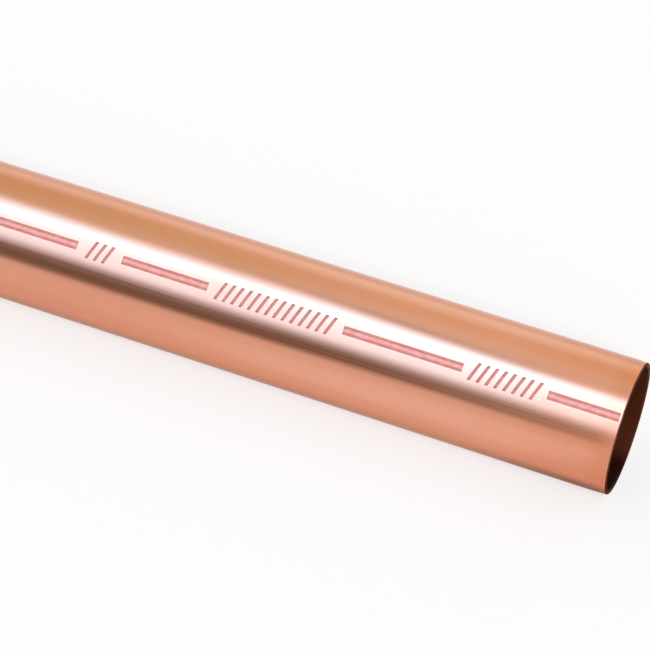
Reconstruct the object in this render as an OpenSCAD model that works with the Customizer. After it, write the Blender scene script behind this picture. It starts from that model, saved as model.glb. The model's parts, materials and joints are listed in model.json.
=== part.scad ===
// Straight length of hard-drawn copper water tube, nominal 1 inch, thin wall.
// The tube lies along X on the plane Z = 0, with its middle over the origin.

/* [Tube] */
// Outside diameter of the tube
outside_diameter = 28.575; // [15:0.005:67]
// Wall thickness
wall_thickness = 0.889; // [0.7:0.001:2.5]
// Length from cut end to cut end
tube_length = 609.6; // [100:0.1:6100]

/* [Cut ends] */
// Radius of the rounded outer edge that the cutting wheel leaves
edge_radius = 0.25; // [0.05:0.01:0.35]
// Width of the reamed bevel in the bore's mouth, across the wall
ream_width = 0.2; // [0.05:0.01:0.3]
// Length of the reamed bevel, along the bore
ream_length = 0.3; // [0.05:0.01:0.8]

/* [Hidden] */
copper_colour = [0.86, 0.58, 0.47];
// Facets around the tube and around a rounded edge
tube_facets = 128;
edge_facets = 32;
outer_radius = outside_diameter / 2;
bore_radius = outer_radius - wall_thickness;

// Section of the plain wall with its two outer corners rounded: radius across, length upwards
module rounded_wall() {
    translate([bore_radius, 0])
        square([wall_thickness - edge_radius, tube_length]);
    translate([bore_radius, edge_radius])
        square([wall_thickness, tube_length - 2 * edge_radius]);
    for (corner = [edge_radius, tube_length - edge_radius])
        translate([outer_radius - edge_radius, corner])
            circle(r = edge_radius, $fn = edge_facets);
}

// Section of the metal that the reamer takes out of the bore's mouth at the end where the length is 0
module ream_cut() {
    polygon([
        [bore_radius, 0],
        [bore_radius + ream_width, 0],
        [bore_radius, ream_length]
    ]);
}

// Section of the finished wall, reamed at both ends
module wall_section() {
    difference() {
        rounded_wall();
        ream_cut();
        translate([0, tube_length])
            mirror([0, 1])
                ream_cut();
    }
}

// The tube: its wall turned about the axis, then laid along X on the floor
module copper_tube() {
    color(copper_colour)
        translate([-tube_length / 2, 0, outer_radius])
            rotate([0, 90, 0])
                rotate_extrude($fn = tube_facets)
                    wall_section();
}

copper_tube();
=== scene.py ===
import json
import math
import bpy
import numpy as np
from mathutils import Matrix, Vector


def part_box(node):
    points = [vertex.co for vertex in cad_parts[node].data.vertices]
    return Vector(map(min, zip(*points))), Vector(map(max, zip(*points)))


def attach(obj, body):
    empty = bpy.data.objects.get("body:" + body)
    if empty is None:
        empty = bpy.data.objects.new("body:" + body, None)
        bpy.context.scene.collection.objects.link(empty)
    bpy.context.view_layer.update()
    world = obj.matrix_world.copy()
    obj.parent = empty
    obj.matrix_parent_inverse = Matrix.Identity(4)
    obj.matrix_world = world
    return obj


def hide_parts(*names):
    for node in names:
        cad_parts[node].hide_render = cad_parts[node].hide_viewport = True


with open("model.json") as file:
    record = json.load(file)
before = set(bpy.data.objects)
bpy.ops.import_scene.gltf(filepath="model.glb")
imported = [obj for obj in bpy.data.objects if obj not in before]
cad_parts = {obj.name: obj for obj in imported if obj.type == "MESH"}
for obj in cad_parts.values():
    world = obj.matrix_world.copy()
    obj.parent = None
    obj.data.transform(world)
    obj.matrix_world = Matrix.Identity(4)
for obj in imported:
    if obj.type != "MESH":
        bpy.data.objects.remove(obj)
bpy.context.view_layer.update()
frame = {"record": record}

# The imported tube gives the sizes: its box the length and height, its bore mount the inner radius
mm = 0.001
tubeLow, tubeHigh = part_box("copper_tube")
boreMount = next(mount for mount in frame["record"]["mounts"] if mount["kind"] == "bore")
outerRadius = (tubeHigh.z - tubeLow.z) / 2
boreRadius = boreMount["dims"]["r_mm"] * mm
floorLevel = tubeLow.z
axisHeight = floorLevel + outerRadius
rightEnd = tubeHigh.x
leftEnd = tubeLow.x
tubeLength = rightEnd - leftEnd
print(f"frame: tube {tubeLength:.4f} m long, {2 * outerRadius / mm:.3f} mm across")

sharpAngle = 30                # degrees; an edge that turns more than this stays crisp
noiseSpan = (0.3, 0.7)         # nearly all of a noise's values lie between these


def gridQuads(rows, columns, closeRows=False, closeColumns=False):
    # Each cell's corners: a point, the next one in its row, that one's neighbour in the next row, its own
    # neighbour there. A closed direction runs on from its last line into its first.
    number = np.arange(rows * columns).reshape(rows, columns)
    if closeRows:
        number = np.vstack([number, number[:1]])
    if closeColumns:
        number = np.hstack([number, number[:, :1]])
    corners = [number[:-1, :-1], number[:-1, 1:], number[1:, 1:], number[1:, :-1]]
    return np.stack(corners, axis=-1).reshape(-1, 4)


def newObject(name, points, quads, materials, zones=None):
    # Zones give each face's place in the list of materials
    mesh = bpy.data.meshes.new(name)
    mesh.from_pydata(points.reshape(-1, 3).tolist(), [], quads.tolist())
    for material in materials:
        mesh.materials.append(material)
    if zones is not None:
        mesh.polygons.foreach_set("material_index", zones.astype(np.int32))
    mesh.shade_smooth()
    mesh.set_sharp_from_angle(angle=math.radians(sharpAngle))
    made = bpy.data.objects.new(name, mesh)
    bpy.context.scene.collection.objects.link(made)
    return made


def addNode(tree, kind, inputs=None, **settings):
    # Inputs are linked where a socket is given, and set where a value is
    made = tree.nodes.new(kind)
    for key, value in settings.items():
        setattr(made, key, value)
    for key, value in (inputs or {}).items():
        if isinstance(value, bpy.types.NodeSocket):
            tree.links.new(value, made.inputs[key])
        else:
            made.inputs[key].default_value = value
    return made


def newGroup(name, inputs, outputs):
    tree = bpy.data.node_groups.new(name, "ShaderNodeTree")
    for socketName, kind, value in inputs:
        socket = tree.interface.new_socket(socketName, in_out="INPUT", socket_type=kind)
        if value is not None:
            socket.default_value = value
    for socketName, kind in outputs:
        tree.interface.new_socket(socketName, in_out="OUTPUT", socket_type=kind)
    return tree, tree.nodes.new("NodeGroupInput").outputs, tree.nodes.new("NodeGroupOutput").inputs


def placeGroup(tree, group, **inputs):
    return addNode(tree, "ShaderNodeGroup", inputs, node_tree=group).outputs


def mathNode(tree, operation, first, second=0.0):
    return addNode(tree, "ShaderNodeMath", {0: first, 1: second}, operation=operation).outputs[0]


def vectorNode(tree, operation, first, second=(0, 0, 0)):
    return addNode(tree, "ShaderNodeVectorMath", {0: first, 1: second}, operation=operation).outputs


def remap(tree, value, low, high, toLow=0.0, toHigh=1.0):
    # A smooth step from one value to the other
    inputs = {"Value": value, "From Min": low, "From Max": high, "To Min": toLow, "To Max": toHigh}
    return addNode(tree, "ShaderNodeMapRange", inputs, interpolation_type="SMOOTHSTEP").outputs["Result"]


def mixColour(tree, factor, first, second):
    # The Mix node's colour sockets are its inputs 6 and 7 and its output 2
    return addNode(tree, "ShaderNodeMix", {0: factor, 6: first, 7: second}, data_type="RGBA").outputs[2]


def objectPlace(tree):
    return addNode(tree, "ShaderNodeTexCoord").outputs["Object"]


def newMaterial(name):
    material = bpy.data.materials.new(name)
    material.use_nodes = True
    tree = material.node_tree
    return material, tree, tree.nodes["Principled BSDF"].inputs


streakNoise = {"Scale": 1.0, "Detail": 3.0, "Roughness": 0.6}


def makeStreaks():
    # Noise that is long along X and fine across it: the marks of drawing, wiping and sliding
    tree, given, result = newGroup("streaks", [
        ("Place", "NodeSocketVector", None),
        ("Pitch", "NodeSocketFloat", 0.4 * mm),
        ("Length", "NodeSocketFloat", 50 * mm),
    ], [("Streaks", "NodeSocketFloat")])
    along = mathNode(tree, "DIVIDE", 1.0, given["Length"])
    across = mathNode(tree, "DIVIDE", 1.0, given["Pitch"])
    scale = addNode(tree, "ShaderNodeCombineXYZ", {"X": along, "Y": across, "Z": across}).outputs[0]
    place = vectorNode(tree, "MULTIPLY", given["Place"], scale)["Vector"]
    noise = addNode(tree, "ShaderNodeTexNoise", {"Vector": place, **streakNoise})
    tree.links.new(noise.outputs["Fac"], result["Streaks"])
    return tree


blotchNoise = {"Detail": 4.0, "Roughness": 0.55}
blotchRim = {
    "highest": 0.85,           # noise level at which a mask with no cover starts
    "softness": 0.3,           # from there to where it is full
}


def makeBlotches():
    # Soft clouds of a given size, cut to a mask: tarnish, thin ink, handled places
    tree, given, result = newGroup("blotches", [
        ("Place", "NodeSocketVector", None),
        ("Size", "NodeSocketFloat", 20 * mm),
        ("Cover", "NodeSocketFloat", 0.5),
    ], [("Mask", "NodeSocketFloat")])
    scale = mathNode(tree, "DIVIDE", 1.0, given["Size"])
    noise = addNode(tree, "ShaderNodeTexNoise", {"Vector": given["Place"], "Scale": scale, **blotchNoise})
    start = mathNode(tree, "SUBTRACT", blotchRim["highest"], given["Cover"])
    end = mathNode(tree, "ADD", start, blotchRim["softness"])
    tree.links.new(remap(tree, noise.outputs["Fac"], start, end), result["Mask"])
    return tree


def makeEndReach():
    # The distance from the nearer end is half the length less the size of x, because the tube's middle is
    # at x = 0. The mask is 1 up to one distance and 0 past another.
    tree, given, result = newGroup("end_reach", [
        ("Place", "NodeSocketVector", None),
        ("Full", "NodeSocketFloat", 3 * mm),
        ("Gone", "NodeSocketFloat", 20 * mm),
    ], [("Mask", "NodeSocketFloat")])
    alongX = addNode(tree, "ShaderNodeSeparateXYZ", {0: given["Place"]}).outputs["X"]
    fromEnd = mathNode(tree, "SUBTRACT", tubeLength / 2, mathNode(tree, "ABSOLUTE", alongX))
    tree.links.new(remap(tree, fromEnd, given["Full"], given["Gone"], 1.0, 0.0), result["Mask"])
    return tree


streaks = makeStreaks()
blotches = makeBlotches()
endReach = makeEndReach()
print("effects: streaks, blotches and end reach ready")


def streakLines(tree, place, finish):
    pitch, length = finish["linePitch"], finish["lineLength"]
    return placeGroup(tree, streaks, Place=place, Pitch=pitch, Length=length)["Streaks"]


def blotchMask(tree, place, size, cover):
    return placeGroup(tree, blotches, Place=place, Size=size, Cover=cover)["Mask"]


def endMask(tree, place, reach):
    full, gone = reach
    return placeGroup(tree, endReach, Place=place, Full=full, Gone=gone)["Mask"]


def bumpNormal(tree, height, depth):
    return addNode(tree, "ShaderNodeBump", {"Height": height, "Distance": depth}).outputs["Normal"]


drawnFinish = {
    "colour": (0.72, 0.312, 0.196, 1),     # clean drawn copper
    "warmColour": (0.7, 0.28, 0.162, 1),   # places that have begun to tarnish
    "warmSize": 35 * mm,
    "warmCover": 0.38,
    "endColour": (0.715, 0.288, 0.17, 1),  # warmer towards the cut ends
    "endReach": (3 * mm, 26 * mm),
    "tipColour": (0.69, 0.26, 0.145, 1),   # warmer still at the very ends
    "tipReach": (1.5 * mm, 6 * mm),
    "edgeTint": (0.95, 0.88, 0.85, 1),     # keeps the colour where the wall turns away
    "linePitch": 0.35 * mm,
    "lineLength": 90 * mm,
    "lineDepth": 0.0006 * mm,
    "roughness": (0.17, 0.24),
}


def drawnCopper():
    material, tree, shader = newMaterial("drawn_copper")
    place = objectPlace(tree)
    lines = streakLines(tree, place, drawnFinish)
    warm = blotchMask(tree, place, drawnFinish["warmSize"], drawnFinish["warmCover"])
    colour = mixColour(tree, warm, drawnFinish["colour"], drawnFinish["warmColour"])
    for name in ("end", "tip"):
        near = endMask(tree, place, drawnFinish[name + "Reach"])
        colour = mixColour(tree, near, colour, drawnFinish[name + "Colour"])
    tree.links.new(colour, shader["Base Color"])
    tree.links.new(remap(tree, lines, *noiseSpan, *drawnFinish["roughness"]), shader["Roughness"])
    tree.links.new(bumpNormal(tree, lines, drawnFinish["lineDepth"]), shader["Normal"])
    shader["Metallic"].default_value = 1
    shader["Specular Tint"].default_value = drawnFinish["edgeTint"]
    return material


cutFinish = {
    "colour": (0.4, 0.17, 0.1, 1),
    "dullColour": (0.28, 0.11, 0.065, 1),
    "dullSize": 2.5 * mm,
    "dullCover": 0.5,
    "edgeTint": (0.15, 0.08, 0.05, 1),     # the fine grooves turn dark when seen at a slant
    "ringPitch": 0.06 * mm,
    "ringDepth": 0.002 * mm,
    "roughness": (0.3, 0.45),
}
rolledFinish = {
    "colour": (0.15, 0.058, 0.034, 1),     # the rounded outer edge, much darker than the flat cut
    "dullColour": (0.09, 0.034, 0.02, 1),
    "dullSize": 2.5 * mm,
    "dullCover": 0.5,
    "edgeTint": (0.45, 0.3, 0.22, 1),
    "ringPitch": 0.06 * mm,
    "ringDepth": 0.001 * mm,
    "roughness": (0.3, 0.45),
}


def wheelCut(name, finish):
    # The wheel's marks are rings: a sine of the distance from the tube's axis
    material, tree, shader = newMaterial(name)
    place = objectPlace(tree)
    centred = vectorNode(tree, "SUBTRACT", place, (0, 0, axisHeight))["Vector"]
    flat = vectorNode(tree, "MULTIPLY", centred, (0, 1, 1))["Vector"]
    radius = vectorNode(tree, "LENGTH", flat)["Value"]
    rings = mathNode(tree, "SINE", mathNode(tree, "MULTIPLY", radius, 2 * math.pi / finish["ringPitch"]))
    dull = blotchMask(tree, place, finish["dullSize"], finish["dullCover"])
    tree.links.new(mixColour(tree, dull, finish["colour"], finish["dullColour"]), shader["Base Color"])
    tree.links.new(remap(tree, dull, 0.0, 1.0, *finish["roughness"]), shader["Roughness"])
    tree.links.new(bumpNormal(tree, rings, finish["ringDepth"]), shader["Normal"])
    shader["Metallic"].default_value = 1
    shader["Specular Tint"].default_value = finish["edgeTint"]
    return material


boreFinish = {
    "colour": (0.063, 0.0145, 0.0045, 1),      # brown oxide near the mouth
    "lightColour": (0.08, 0.021, 0.0075, 1),
    "lightSize": 9 * mm,
    "lightCover": 0.4,
    "paintedShadeColour": (0.017, 0.0025, 0.0006, 1),     # painted shade: darker in the front half, which faces away from the light
    "paintedShadeReach": (0.5 * mm, 5 * mm),      # along y: full before the first place, gone behind the second
    "deepColour": (0.56, 0.26, 0.145, 1),      # paler farther in
    "mouthReach": (7 * mm, 19 * mm),
    "metallic": 0.25,
    "gloss": 0.25,
    "linePitch": 0.8 * mm,
    "lineLength": 60 * mm,
    "edgeTint": (0.5, 0.3, 0.2, 1),
    "roughness": (0.4, 0.55),
}


def boreOxide():
    material, tree, shader = newMaterial("bore_oxide")
    place = objectPlace(tree)
    lines = streakLines(tree, place, boreFinish)
    light = blotchMask(tree, place, boreFinish["lightSize"], boreFinish["lightCover"])
    colour = mixColour(tree, light, boreFinish["colour"], boreFinish["lightColour"])
    # Painted shade: the colour darkens over the front half of the bore, which faces away from the light
    backwards = addNode(tree, "ShaderNodeSeparateXYZ", {0: place}).outputs["Y"]
    paintedShade = remap(tree, backwards, *boreFinish["paintedShadeReach"], 1.0, 0.0)
    colour = mixColour(tree, paintedShade, colour, boreFinish["paintedShadeColour"])
    mouth = endMask(tree, place, boreFinish["mouthReach"])
    tree.links.new(mixColour(tree, mouth, boreFinish["deepColour"], colour), shader["Base Color"])
    tree.links.new(remap(tree, lines, *noiseSpan, *boreFinish["roughness"]), shader["Roughness"])
    shader["Metallic"].default_value = boreFinish["metallic"]
    shader["Specular IOR Level"].default_value = boreFinish["gloss"]
    shader["Specular Tint"].default_value = boreFinish["edgeTint"]
    return material


tube = {
    "edgeRadius": 0.25 * mm,   # outer edge that the cutting wheel rounds
    "rollDepth": 0.12 * mm,    # the wheel also presses the wall in a little beside the cut
    "rollLength": 4 * mm,
    "reamWidth": 0.2 * mm,     # bevel in the bore's mouth, across the wall
    "reamLength": 0.3 * mm,    # and along the bore
    "waves": [                 # (turns round the tube, length along it, depth, phase)
        (2, 310 * mm, 0.012 * mm, 0.4),
        (3, 140 * mm, 0.008 * mm, 2.1),
        (5, 85 * mm, 0.004 * mm, 4.0),
    ],
    "edgeSteps": 8,
    "rollSteps": 12,
    "stations": 180,
    "around": 192,
}
drawnZone, cutZone, edgeZone, boreZone = range(4)      # places in the tube's list of finishes


def wallRadius(x, turn):
    # The outer radius at a place: the plain one, less a roll that grows with the square towards each end,
    # less a few faint waves, each a sine of a length along x and of whole turns, that die out in the roll
    fromEnd = np.minimum(rightEnd - x, x - leftEnd) - tube["edgeRadius"]
    near = np.clip(1 - fromEnd / tube["rollLength"], 0, 1)
    wave = sum(depth * (1 + np.sin(turns * turn + 2 * math.pi * x / length + phase)) / 2
               for turns, length, depth, phase in tube["waves"])
    return outerRadius - tube["rollDepth"] * near ** 2 - wave * (1 - near)


def endSection():
    # Half of the wall's section at one end, as (distance in from the end, radius): the bore's mouth, the
    # reamed bevel, the flat cut, then a quarter circle onto the outer wall
    turn = np.linspace(0, math.pi / 2, tube["edgeSteps"] + 1)
    inwards = np.concatenate([[tube["reamLength"], 0], tube["edgeRadius"] * (1 - np.cos(turn))])
    edge = outerRadius - tube["rollDepth"] - tube["edgeRadius"] * (1 - np.sin(turn))
    return inwards, np.concatenate([[boreRadius, boreRadius + tube["reamWidth"]], edge])


def turnWall():
    # The closed section goes once round the axis: y = -r cos t, z = axis height + r sin t. It runs over the
    # right end from the bore outwards, along the outer wall to the left, over the left end to the bore, and
    # back along the bore.
    inwards, radius = endSection()
    roll = tube["edgeRadius"] + np.linspace(0, tube["rollLength"], tube["rollSteps"] + 1)
    middle = np.linspace(rightEnd - roll[-1], leftEnd + roll[-1], tube["stations"])
    outer = np.concatenate([rightEnd - roll[1:-1], middle, leftEnd + roll[-2:0:-1]])
    x = np.concatenate([rightEnd - inwards, outer, leftEnd + inwards[::-1]])
    t, along = np.meshgrid(np.arange(tube["around"]) * 2 * math.pi / tube["around"], x)
    ends = np.concatenate([radius, np.zeros(outer.size), radius[::-1]])
    r = np.where(ends[:, None] > 0, ends[:, None], wallRadius(along, t))
    points = np.stack([along, -r * np.cos(t), axisHeight + r * np.sin(t)], axis=-1)
    # Each strip of faces has one finish: the bevel is the bore's, then the flat cut, then the rounded edge
    cut = np.concatenate([[boreZone, cutZone], np.full(tube["edgeSteps"], edgeZone)])
    strips = np.concatenate([cut, np.full(outer.size + 1, drawnZone), cut[::-1], [boreZone]])
    return points, np.repeat(strips, tube["around"])


tubePoints, tubeZones = turnWall()
tubeQuads = gridQuads(*tubePoints.shape[:2], closeRows=True, closeColumns=True)
tubeFinishes = [
    drawnCopper(),
    wheelCut("cut_copper", cutFinish),
    wheelCut("rolled_edge", rolledFinish),
    boreOxide(),
]
drawnTube = newObject("drawn_tube", tubePoints, tubeQuads, tubeFinishes, tubeZones)
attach(drawnTube, "root")
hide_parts("copper_tube")
print(f"tube: {len(tubeQuads)} faces")

# The printed marking is a double line in stretches, with plain slanted bars between them
marking = {
    "angle": 59.1,             # middle of the double line, in degrees from -Y towards +Z
    "lineSpacing": 1.36 * mm,
    "lineWidth": 0.5 * mm,
    "firstStretch": (0.6 * mm, 15.8 * mm),     # from the right end
    "rhythm": [                # (gap, stretch), again and again towards the left end
        (18.3 * mm, 26.2 * mm),
        (30.5 * mm, 19.7 * mm),
        (10.5 * mm, 27 * mm),
    ],
    "barHeight": 4.0 * mm,
    "barWidth": 0.7 * mm,
    "barPitch": 1.9 * mm,
    "barSlant": 0.35,          # shift along the tube for each unit of height
    "barMargin": 1.5 * mm,
    "filmThickness": 0.012 * mm,
    "step": 0.4 * mm,          # between the points of a strip, which has at least
    "leastColumns": 2,         # so many along it
    "leastRows": 5,            # and so many across
}
inkFinish = {
    "lineColour": (0.48, 0.13, 0.105, 1),
    "lineThinColour": (0.56, 0.2, 0.165, 1),
    "tintColour": (0.7, 0.27, 0.225, 1),
    "tintThinColour": (0.77, 0.35, 0.295, 1),
    "thinSize": 1.2 * mm,
    "thinCover": 0.45,
    "roughness": (0.35, 0.5),
}


def markingInk(name, colour, thinColour):
    material, tree, shader = newMaterial(name)
    thin = blotchMask(tree, objectPlace(tree), inkFinish["thinSize"], inkFinish["thinCover"])
    tree.links.new(mixColour(tree, thin, colour, thinColour), shader["Base Color"])
    tree.links.new(remap(tree, thin, 0.0, 1.0, *inkFinish["roughness"]), shader["Roughness"])
    return material


def markingPlan():
    # Stretches and the gaps between them, as (start, end) distances from the right end, up to the left end
    margin, end = marking["firstStretch"]
    limit = tubeLength - margin
    stretches = [(margin, end)]
    gaps = []
    while end < limit:
        gap, stretch = marking["rhythm"][len(gaps) % len(marking["rhythm"])]
        start = min(end + gap, limit)
        gaps.append((end, start))
        end = min(start + stretch, limit)
        if end > start:
            stretches.append((start, end))
    return stretches, gaps


def filmGrid(start, end, angle, width, slant=0.0):
    # A strip laid on the wall: the turn runs over the width divided by the radius, and x from start to end,
    # shifted by the slant times the height above the strip's middle line
    columns = max(marking["leastColumns"], round((end - start) / marking["step"]))
    rows = max(marking["leastRows"], round(width / marking["step"]))
    across = np.linspace(-0.5, 0.5, rows) * width
    height, fromRight = np.meshgrid(across, np.linspace(start, end, columns))
    turn = math.radians(angle) + height / outerRadius
    x = rightEnd - fromRight + slant * height
    r = wallRadius(x, turn)
    return np.stack([x, -r * np.cos(turn), axisHeight + r * np.sin(turn)], axis=-1)


def gapBars(start, end):
    # As many equal bars as fit between the margins, centred in the gap
    count = int((end - start - 2 * marking["barMargin"]) / marking["barPitch"])
    middles = (start + end) / 2 + (np.arange(count) - (count - 1) / 2) * marking["barPitch"]
    half = marking["barWidth"] / 2
    shape = (marking["angle"], marking["barHeight"], marking["barSlant"])
    return [filmGrid(middle - half, middle + half, *shape) for middle in middles]


def printFilm(name, strips, material):
    # All strips as one mesh, which Solidify makes a closed film standing just proud of the copper
    sizes = [strip.shape[0] * strip.shape[1] for strip in strips]
    firsts = np.cumsum([0] + sizes[:-1])
    points = np.concatenate([strip.reshape(-1, 3) for strip in strips])
    quads = np.concatenate([gridQuads(*strip.shape[:2]) + first for strip, first in zip(strips, firsts)])
    film = newObject(name, points, quads, [material])
    solid = film.modifiers.new("film", "SOLIDIFY")
    solid.thickness = 2 * marking["filmThickness"]     # half of it lies in the wall
    solid.offset = 0
    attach(film, "root")


stretches, gaps = markingPlan()
halfSpacing = math.degrees(marking["lineSpacing"] / 2 / outerRadius)
lineStrips = [filmGrid(start, end, marking["angle"] + side * halfSpacing, marking["lineWidth"])
              for start, end in stretches for side in (-1, 1)]
barStrips = [bar for start, end in gaps for bar in gapBars(start, end)]
tintWidth = marking["lineSpacing"] - marking["lineWidth"]
tintStrips = [filmGrid(start, end, marking["angle"], tintWidth) for start, end in stretches]
lineInk = markingInk("line_ink", inkFinish["lineColour"], inkFinish["lineThinColour"])
tintInk = markingInk("tint_ink", inkFinish["tintColour"], inkFinish["tintThinColour"])
printFilm("marking_lines", lineStrips + barStrips, lineInk)
printFilm("marking_tint", tintStrips, tintInk)
print(f"marking: {len(stretches)} stretches, {len(gaps)} gaps, {len(barStrips)} bars")

studio = {
    "floorSize": 40.0,
    "floorColour": (0.9, 0.9, 0.9, 1),
    "floorWhite": 0.55,        # share of plain white where the floor is seen, which keeps its shadow faint
    "worldLight": 0.6,         # what the world gives to matt surfaces; it shows as plain white
    "lampStrength": 1.95,
    "lampElevation": 50.5,
    "lampAzimuth": 26,
    "lampAngle": 20,
    "sheetRows": 13,           # twelve steps across a sheet, so that its thirds end on a row
    "cardColumns": 300,
}


def newSheet(name, ends, place, material, columns=2):
    # A sheet over u and v from 0 to 1: x runs along u between the ends, and place gives y and z for x and v
    u, v = np.meshgrid(np.linspace(0, 1, columns), np.linspace(0, 1, studio["sheetRows"]))
    x = ends[0] + u * (ends[1] - ends[0])
    y, z = np.broadcast_arrays(*place(x, v), x)[:2]
    quads = gridQuads(*x.shape)
    sheet = newObject(name, np.stack([x, y, z], axis=-1), quads, [material])
    layer = sheet.data.uv_layers.new(name="sheet")
    layer.data.foreach_set("uv", np.stack([u, v], axis=-1).reshape(-1, 2)[quads.ravel()].ravel())
    return sheet


def seenRay(tree):
    # 1 for what the camera, a reflection or a clear body sees, 0 for the light that falls on matt surfaces
    ray = addNode(tree, "ShaderNodeLightPath").outputs
    seen = mathNode(tree, "MAXIMUM", ray["Is Camera Ray"], ray["Is Glossy Ray"])
    return mathNode(tree, "MAXIMUM", seen, ray["Is Transmission Ray"])


def floorMaterial():
    material, tree, shader = newMaterial("pale_floor")
    shader["Base Color"].default_value = studio["floorColour"]
    shader["Roughness"].default_value = 1
    shader["Specular IOR Level"].default_value = 0
    matt = tree.nodes["Principled BSDF"].outputs[0]
    white = addNode(tree, "ShaderNodeEmission").outputs[0]
    share = mathNode(tree, "MULTIPLY", seenRay(tree), studio["floorWhite"])
    mixed = addNode(tree, "ShaderNodeMixShader", {0: share, 1: matt, 2: white}).outputs[0]
    tree.links.new(mixed, tree.nodes["Material Output"].inputs["Surface"])
    material.cycles.emission_sampling = "NONE"
    return material


def makeFloor():
    # Level and square: y runs over the same span as x
    half = studio["floorSize"] / 2
    newSheet("floor", (-half, half), lambda x, v: ((2 * v - 1) * half, floorLevel), floorMaterial())


def makeWorld():
    world = bpy.data.worlds.new("studio_world")
    bpy.context.scene.world = world
    world.use_nodes = True
    tree = world.node_tree
    background = tree.nodes["Background"].inputs
    background["Color"].default_value = (1, 1, 1, 1)
    strength = remap(tree, seenRay(tree), 0.0, 1.0, studio["worldLight"], 1.0)
    tree.links.new(strength, background["Strength"])


def direction(azimuth, elevation):
    # From the object towards a place in the studio; azimuth 0 is the front, and 90 the right end
    azimuth, elevation = math.radians(azimuth), math.radians(elevation)
    flat = math.cos(elevation)
    return Vector((math.sin(azimuth) * flat, -math.cos(azimuth) * flat, math.sin(elevation)))


def makeLamp():
    lamp = bpy.data.lights.new("soft_lamp", "SUN")
    lamp.energy = studio["lampStrength"]
    lamp.angle = math.radians(studio["lampAngle"])
    holder = bpy.data.objects.new("soft_lamp", lamp)
    towards = direction(studio["lampAzimuth"], studio["lampElevation"])
    holder.rotation_euler = towards.to_track_quat("Z", "Y").to_euler()
    holder.visible_glossy = False
    bpy.context.scene.collection.objects.link(holder)


makeFloor()
makeWorld()
makeLamp()
print("studio: floor, world and lamp ready")


def cardMaterial(name, card):
    # Emission that fades out towards the sheet's edges: a fade says where it starts, is full, and ends
    material = bpy.data.materials.new(name)
    material.use_nodes = True
    tree = material.node_tree
    tree.nodes.clear()
    sheet = addNode(tree, "ShaderNodeUVMap", uv_map="sheet").outputs[0]
    place = addNode(tree, "ShaderNodeSeparateXYZ", {0: sheet}).outputs
    mask = card["cover"]
    for axis, fade in (("X", "fadeAlong"), ("Y", "fadeAcross")):
        start, fullFrom, fullTo, end = card[fade]
        mask = mathNode(tree, "MULTIPLY", remap(tree, place[axis], start, fullFrom), mask)
        mask = mathNode(tree, "MULTIPLY", remap(tree, place[axis], fullTo, end, 1.0, 0.0), mask)
    colour = card["colour"]
    if "backColour" in card:
        colour = mixColour(tree, place["Y"], colour, card["backColour"])
    glow = addNode(tree, "ShaderNodeEmission", {"Color": colour, "Strength": card["strength"]}).outputs[0]
    clear = addNode(tree, "ShaderNodeBsdfTransparent").outputs[0]
    mixed = addNode(tree, "ShaderNodeMixShader", {0: mask, 1: clear, 2: glow}).outputs[0]
    addNode(tree, "ShaderNodeOutputMaterial", {"Surface": mixed})
    return material


def reflectionCard(name, card, place):
    # Only reflections see a card, so that it shapes the metal's gloss and lights nothing else
    made = newSheet(name, card["ends"], place, cardMaterial(name, card), studio["cardColumns"])
    made.visible_camera = False
    made.visible_diffuse = False
    made.visible_transmission = False
    made.visible_shadow = False
    made.visible_volume_scatter = False


def ease(value, start, end):
    # 0 before start, 1 after end, and a smooth step between them
    share = np.clip((value - start) / (end - start), 0, 1)
    return share * share * (3 - 2 * share)


def levelPlace(card, ground):
    # Level at its height above the ground that is given: y runs from the front edge to the back one
    return lambda x, v: (card["front"] + v * (card["back"] - card["front"]), ground + card["height"])


def uprightPlace(card):
    # Upright at one y: z runs from the low edge to the high one, each a height above the tube's axis. An edge
    # with two heights goes smoothly from the first to the second where the card's rise starts and ends.
    def edge(name, x):
        heights = card[name]
        if isinstance(heights, tuple):
            return heights[0] + (heights[1] - heights[0]) * ease(x, *card["rise"])
        return heights

    def place(x, v):
        low = edge("low", x)
        return card["y"], axisHeight + low + v * (edge("high", x) - low)

    return place


softbox = {
    "height": 0.3,             # above the tube's axis
    "places": (0.03, 0.1, 0.14, 0.23, 0.27),   # along x, where its four lines are given
    "lines": [                 # y at those places: the light grows from the first line to the second,
        (-0.493, -0.526, -0.54, -0.555, -0.52),        # and fades from the third to the fourth
        (-0.085, -0.092, -0.06, -0.05, -0.05),
        (-0.03, -0.03, -0.03, -0.015, -0.015),
        (0.152, 0.112, 0.127, 0.05, 0.058),
    ],
    "ends": (-2.0, 2.0),
    "colour": (0.41, 0.67, 1.03, 1),           # along the first line
    "backColour": (0.33, 0.745, 1.24, 1),      # and along the last
    "strength": 6.0,
    "fadeAlong": (0.0, 0.1, 0.9, 1.0),
    "fadeAcross": (0.0, 1 / 3, 2 / 3, 1.0),
    "cover": 1.0,
}


def softboxLines(x):
    return [np.interp(x, softbox["places"], line) for line in softbox["lines"]]


def softboxPlace(x, v):
    # Level; each third of v runs from one line to the next
    lines = softboxLines(x)
    spans = len(lines) - 1
    steps = [np.clip(spans * v - step, 0, 1) * (lines[step + 1] - lines[step]) for step in range(spans)]
    return lines[0] + sum(steps), axisHeight + softbox["height"]


reflectionCard("softbox", softbox, softboxPlace)

diffuser = {
    "height": 0.29,            # a thin cloth under the softbox's front half
    "front": -0.31,
    "back": 0.02,
    "ends": (-2.0, 0.4),
    "colour": (0.9, 1.0, 0.2, 1),
    "strength": 0.45,
    "fadeAlong": (0.0, 0.08, 0.871, 1.0),
    "fadeAcross": (0.0, 0.485, 0.72, 1.0),
    "cover": 0.37,
}
reflectionCard("diffuser", diffuser, levelPlace(diffuser, axisHeight))

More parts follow.
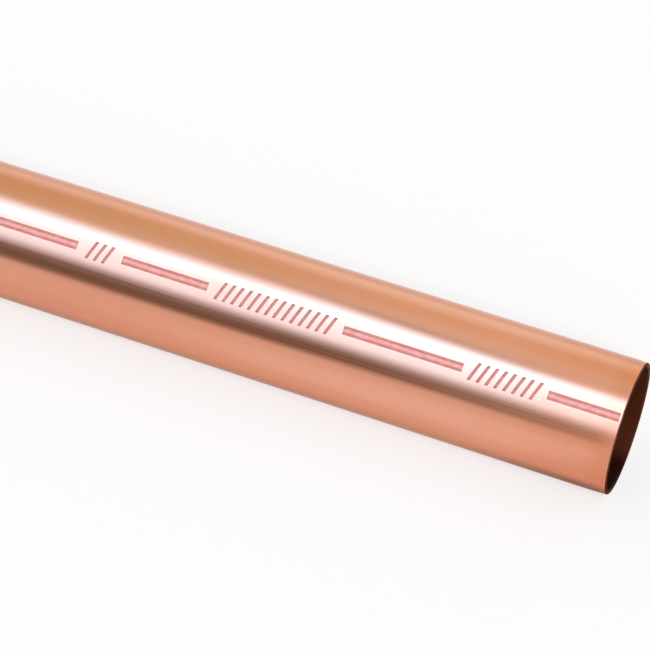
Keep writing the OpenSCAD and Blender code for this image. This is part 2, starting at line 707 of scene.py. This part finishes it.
flag = {
    "y": -0.65,                # a dark sheet upright in front of the tube, past the softbox
    "low": (0.056, 0.136),     # its lower edge rises between two places along x
    "rise": (0.01, 0.16),
    "high": 0.72,
    "ends": (-1.6, 0.31),
    "colour": (1.0, 0.88, 0.68, 1),
    "strength": 0.185,
    "fadeAlong": (0.0, 0.05, 0.89, 1.0),
    "fadeAcross": (0.0, 0.08, 0.8, 1.0),
    "cover": 1.0,
}
reflectionCard("flag", flag, uprightPlace(flag))

canopy = {
    "height": 0.33,            # a dark sheet over the softbox's front half
    "front": -0.72,
    "back": -0.08,
    "ends": (-2.0, 0.3),
    "colour": (1.0, 0.85, 0.75, 1),
    "strength": 0.26,
    "fadeAlong": (0.0, 0.05, 0.87, 1.0),
    "fadeAcross": (0.0, 0.19, 0.8, 1.0),
    "cover": 1.0,
}
reflectionCard("canopy", canopy, levelPlace(canopy, axisHeight))

board = {
    "y": 1.5,                  # a cream board behind the tube
    "low": 0.45,
    "high": 4.5,
    "ends": (-4.0, 4.0),
    "colour": (0.83, 0.83, 0.585, 1),
    "strength": 1.0,
    "fadeAlong": (0.0, 0.05, 0.95, 1.0),
    "fadeAcross": (0.0, 0.06, 1.0, 1.01),
    "cover": 1.0,
}
reflectionCard("board", board, uprightPlace(board))

fill = {
    "y": 0.25,                 # a near, lighter sheet behind the open end
    "low": 0.005,
    "high": 0.66,
    "ends": (0.05, 0.9),
    "colour": (1.0, 1.03, 0.95, 1),
    "strength": 1.1,
    "fadeAlong": (0.0, 0.2, 0.9, 1.0),
    "fadeAcross": (0.0, 0.02, 0.85, 1.0),
    "cover": 0.5,
}
reflectionCard("fill", fill, uprightPlace(fill))

frameBar = {
    "height": 0.295,           # the softbox's own dark frame, just under part of its back edge
    "width": 0.05,
    "ends": (0.14, 0.26),
    "colour": (0.8, 0.85, 1.0, 1),
    "strength": 0.45,
    "fadeAlong": (0.0, 0.3, 0.6, 1.0),
    "fadeAcross": (0.0, 0.4, 0.6, 1.0),
    "cover": 0.9,
}


def framePlace(x, v):
    # Level; v runs over the width, with the softbox's last line in its middle
    return softboxLines(x)[-1] + (v - 0.5) * frameBar["width"], axisHeight + frameBar["height"]


reflectionCard("frame_bar", frameBar, framePlace)

spill = {
    "height": 0.305,           # a faint glow above and behind the softbox
    "start": -0.02,            # from beside its back edge
    "back": 0.34,
    "ends": (-0.06, 0.8),
    "colour": (0.47, 0.76, 1.0, 1),
    "strength": 2.45,
    "fadeAlong": (0.0, 0.28, 0.9, 1.0),
    "fadeAcross": (0.0, 0.15, 0.35, 1.0),
    "cover": 0.15,
}


def spillPlace(x, v):
    # Level; v runs from beside the softbox's last line to one y behind it
    start = softboxLines(x)[-1] + spill["start"]
    return start + v * (spill["back"] - start), axisHeight + spill["height"]


reflectionCard("spill", spill, spillPlace)

paleStrip = {
    "y": 0.24,                 # low behind the tube, where the floor ends
    "low": -0.012,
    "high": (0.085, 0.15),     # its upper edge rises between two places along x
    "rise": (0.12, 0.165),
    "ends": (-2.0, 0.9),
    "colour": (0.7, 1.0, 1.0, 1),
    "strength": 1.87,
    "fadeAlong": (0.0, 0.1, 0.9, 1.0),
    "fadeAcross": (0.0, 0.1, 0.3, 1.0),
    "cover": 0.34,
}
reflectionCard("pale_strip", paleStrip, uprightPlace(paleStrip))

# Shades lie just above the floor, where only the metal's reflection sees them
warmShade = {
    "front": -46 * mm,         # the glow that the copper throws on the floor before it
    "back": 0.0,
    "height": 0.05 * mm,
    "ends": (leftEnd - 20 * mm, rightEnd + 20 * mm),
    "colour": (0.85, 0.49, 0.29, 1),
    "strength": 1.0,
    "fadeAlong": (0.0, 0.03, 0.97, 1.0),
    "fadeAcross": (0.0, 0.6, 0.9, 1.0),
    "cover": 0.27,
}
contactShade = {
    "front": -19 * mm,         # painted shadow: the dark line where tube and floor meet
    "back": 6 * mm,
    "height": 0.1 * mm,
    "ends": (leftEnd - 5 * mm, rightEnd + 4 * mm),
    "colour": (0, 0, 0, 1),
    "strength": 0.0,
    "fadeAlong": (0.0, 0.01, 0.98, 1.0),
    "fadeAcross": (0.0, 0.32, 0.95, 1.0),
    "cover": 0.3,
}
endShade = {
    "front": -19 * mm,         # the same painted shadow, darker beside the open end
    "back": 6 * mm,
    "height": 0.15 * mm,
    "ends": (rightEnd - 40 * mm, rightEnd + 4 * mm),
    "colour": (0, 0, 0, 1),
    "strength": 0.0,
    "fadeAlong": (0.0, 0.85, 0.95, 1.0),
    "fadeAcross": (0.0, 0.32, 0.95, 1.0),
    "cover": 0.5,
}
floorGlow = {
    "front": -0.6,             # painted light: a paler patch of the floor before the open end
    "back": -15 * mm,
    "height": 0.2 * mm,
    "ends": (0.17, 0.3),
    "colour": (0.8, 0.87, 1.0, 1),
    "strength": 1.45,
    "fadeAlong": (0.0, 0.55, 0.85, 1.0),
    "fadeAcross": (0.0, 0.5, 0.96, 1.0),
    "cover": 0.55,
}
backShade = {
    "front": 50 * mm,          # painted shade: a fainter band of the floor behind the tube
    "back": 210 * mm,
    "height": 0.1 * mm,
    "ends": (-1.0, 1.0),
    "colour": (0, 0, 0, 1),
    "strength": 0.0,
    "fadeAlong": (0.0, 0.1, 0.9, 1.0),
    "fadeAcross": (0.0, 0.3, 0.4, 1.0),
    "cover": 0.09,
}
shades = {
    "warm_shade": warmShade,
    "contact_shade": contactShade,
    "end_shade": endShade,
    "floor_glow": floorGlow,
    "back_shade": backShade,
}
for name, shade in shades.items():
    reflectionCard(name, shade, levelPlace(shade, floorLevel))
print("cards: sheets round the tube and shades on the floor ready")

view = {
    "azimuth": 22.47,
    "elevation": 50.15,
    "distance": 0.5282,
    "imagePixels": 650,
    "focalPixels": 2573.8,
    "aimRight": -62.28 * mm,   # the aim, measured to the right of the open end's middle in the picture
    "aimUp": 21.35 * mm,       # and upwards
}


def makeCamera():
    # The photograph's viewing angle; the long lens is given by its focal length in pixels
    back = direction(view["azimuth"], view["elevation"])
    azimuth = math.radians(view["azimuth"])
    right = Vector((math.cos(azimuth), math.sin(azimuth), 0))
    aim = Vector((rightEnd, 0, axisHeight)) + view["aimRight"] * right + view["aimUp"] * back.cross(right)
    camera = bpy.data.cameras.new("camera")
    camera.lens = camera.sensor_width * view["focalPixels"] / view["imagePixels"]
    holder = bpy.data.objects.new("camera", camera)
    holder.location = aim + back * view["distance"]
    holder.rotation_euler = (-back).to_track_quat("-Z", "Y").to_euler()
    bpy.context.scene.collection.objects.link(holder)
    bpy.context.scene.camera = holder


makeCamera()
bpy.context.scene.view_settings.view_transform = "Standard"
print("camera: ready")
